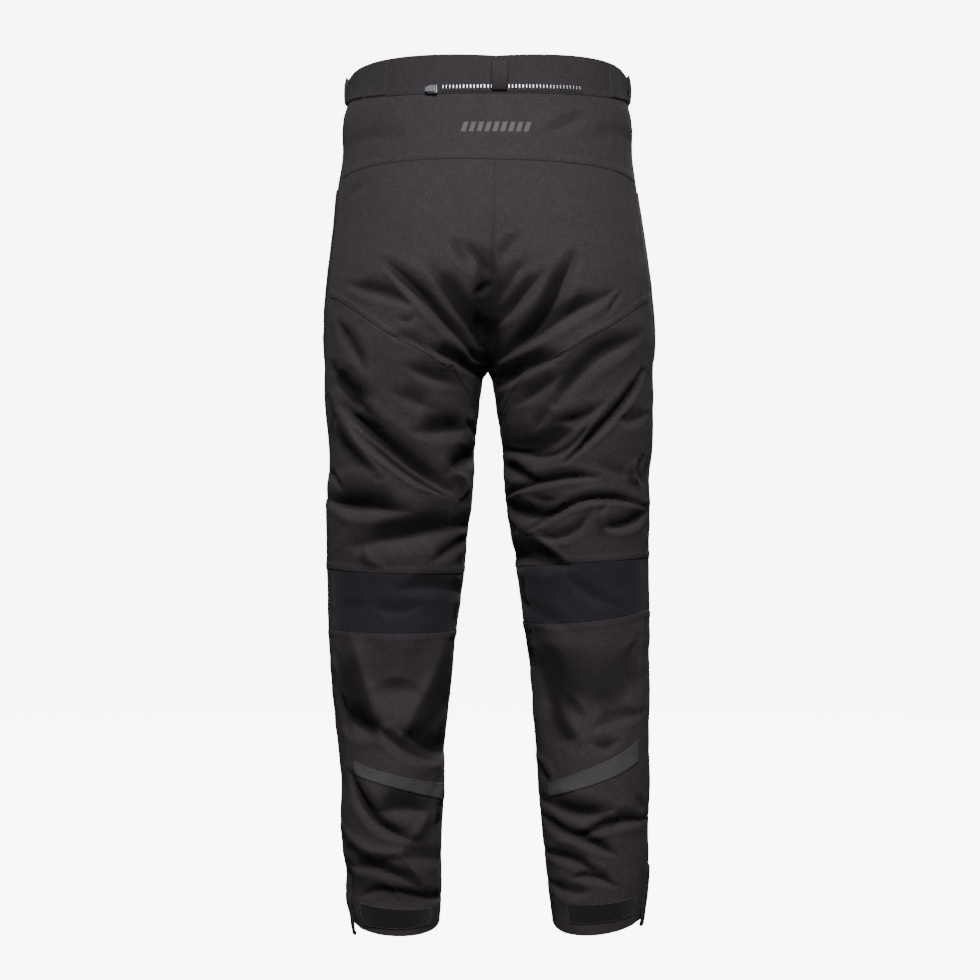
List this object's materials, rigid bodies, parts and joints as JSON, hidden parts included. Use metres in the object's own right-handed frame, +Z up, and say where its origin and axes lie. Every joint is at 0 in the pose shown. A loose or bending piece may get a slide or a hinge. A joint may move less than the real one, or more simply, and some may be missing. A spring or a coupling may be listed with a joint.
{
  "type": "motorcycle trousers",
  "caption": "Worn-shape textile motorcycle trousers: hollow waist and two pre-bent legs, stretch knee bands, reflective calf tape and half of a back connecting zip.",
  "frame": {"origin": "middle of the waist opening at the height of its back edge", "axes": "+X towards the wearer's left, +Y towards the wearer's back, +Z up"},
  "size_m": [0.4116, 0.2927, 1.0753],
  "materials": {
    "cloth": "fine matt black weave",
    "knee_cloth": "smooth blue-black stretch cloth",
    "webbing": "ribbed black webbing",
    "reflective_tape": "dark grey reflective tape",
    "loop_pile": "black loop pile",
    "zip_metal": "satin grey metal"
  },
  "bodies": {
    "garment": {"waistband_back": "cloth", "waistband_front_left": "cloth", "waistband_front_right": "cloth", "yoke_back": "cloth", "seat_left": "cloth", "seat_right": "cloth", "thigh_back_left": "cloth", "thigh_back_right": "cloth", "knee_band_left": "knee_cloth", "knee_band_right": "knee_cloth", "calf_left": "cloth", "calf_right": "cloth", "front_thigh_left": "cloth", "front_thigh_right": "cloth", "knee_front_left": "cloth", "knee_front_right": "cloth", "shin_left": "cloth", "shin_right": "cloth", "fly_facing": "cloth", "front_tab": "cloth", "waist_snap": "zip_metal", "pocket_welt_left": "cloth", "pocket_welt_right": "cloth", "side_tab_left": "webbing", "side_tab_right": "webbing", "adjuster_strap_back_left": "webbing", "adjuster_strap_back_right": "webbing", "adjuster_strap_front_left": "webbing", "adjuster_strap_front_right": "webbing", "belt_loop_back": "webbing", "belt_loop_left": "webbing", "belt_loop_right": "webbing", "connecting_zip_tape": "webbing", "connecting_zip_slider": "zip_metal", "reflective_tape_left": "reflective_tape", "reflective_tape_right": "reflective_tape", "cuff_loop_patch_left": "loop_pile", "cuff_loop_patch_right": "loop_pile", "cuff_tab_left": "webbing", "cuff_tab_right": "webbing"},
    "zip_pull": {"connecting_zip_pull": "zip_metal"}
  },
  "joints": [
    {"name": "zip_pull_turn", "type": "hinge", "parent": "garment", "child": "zip_pull", "pos_m": [0.06369, 0.12309, -0.04054], "axis": [0, 0, 1], "range_deg": [0, 165]}
  ]
}
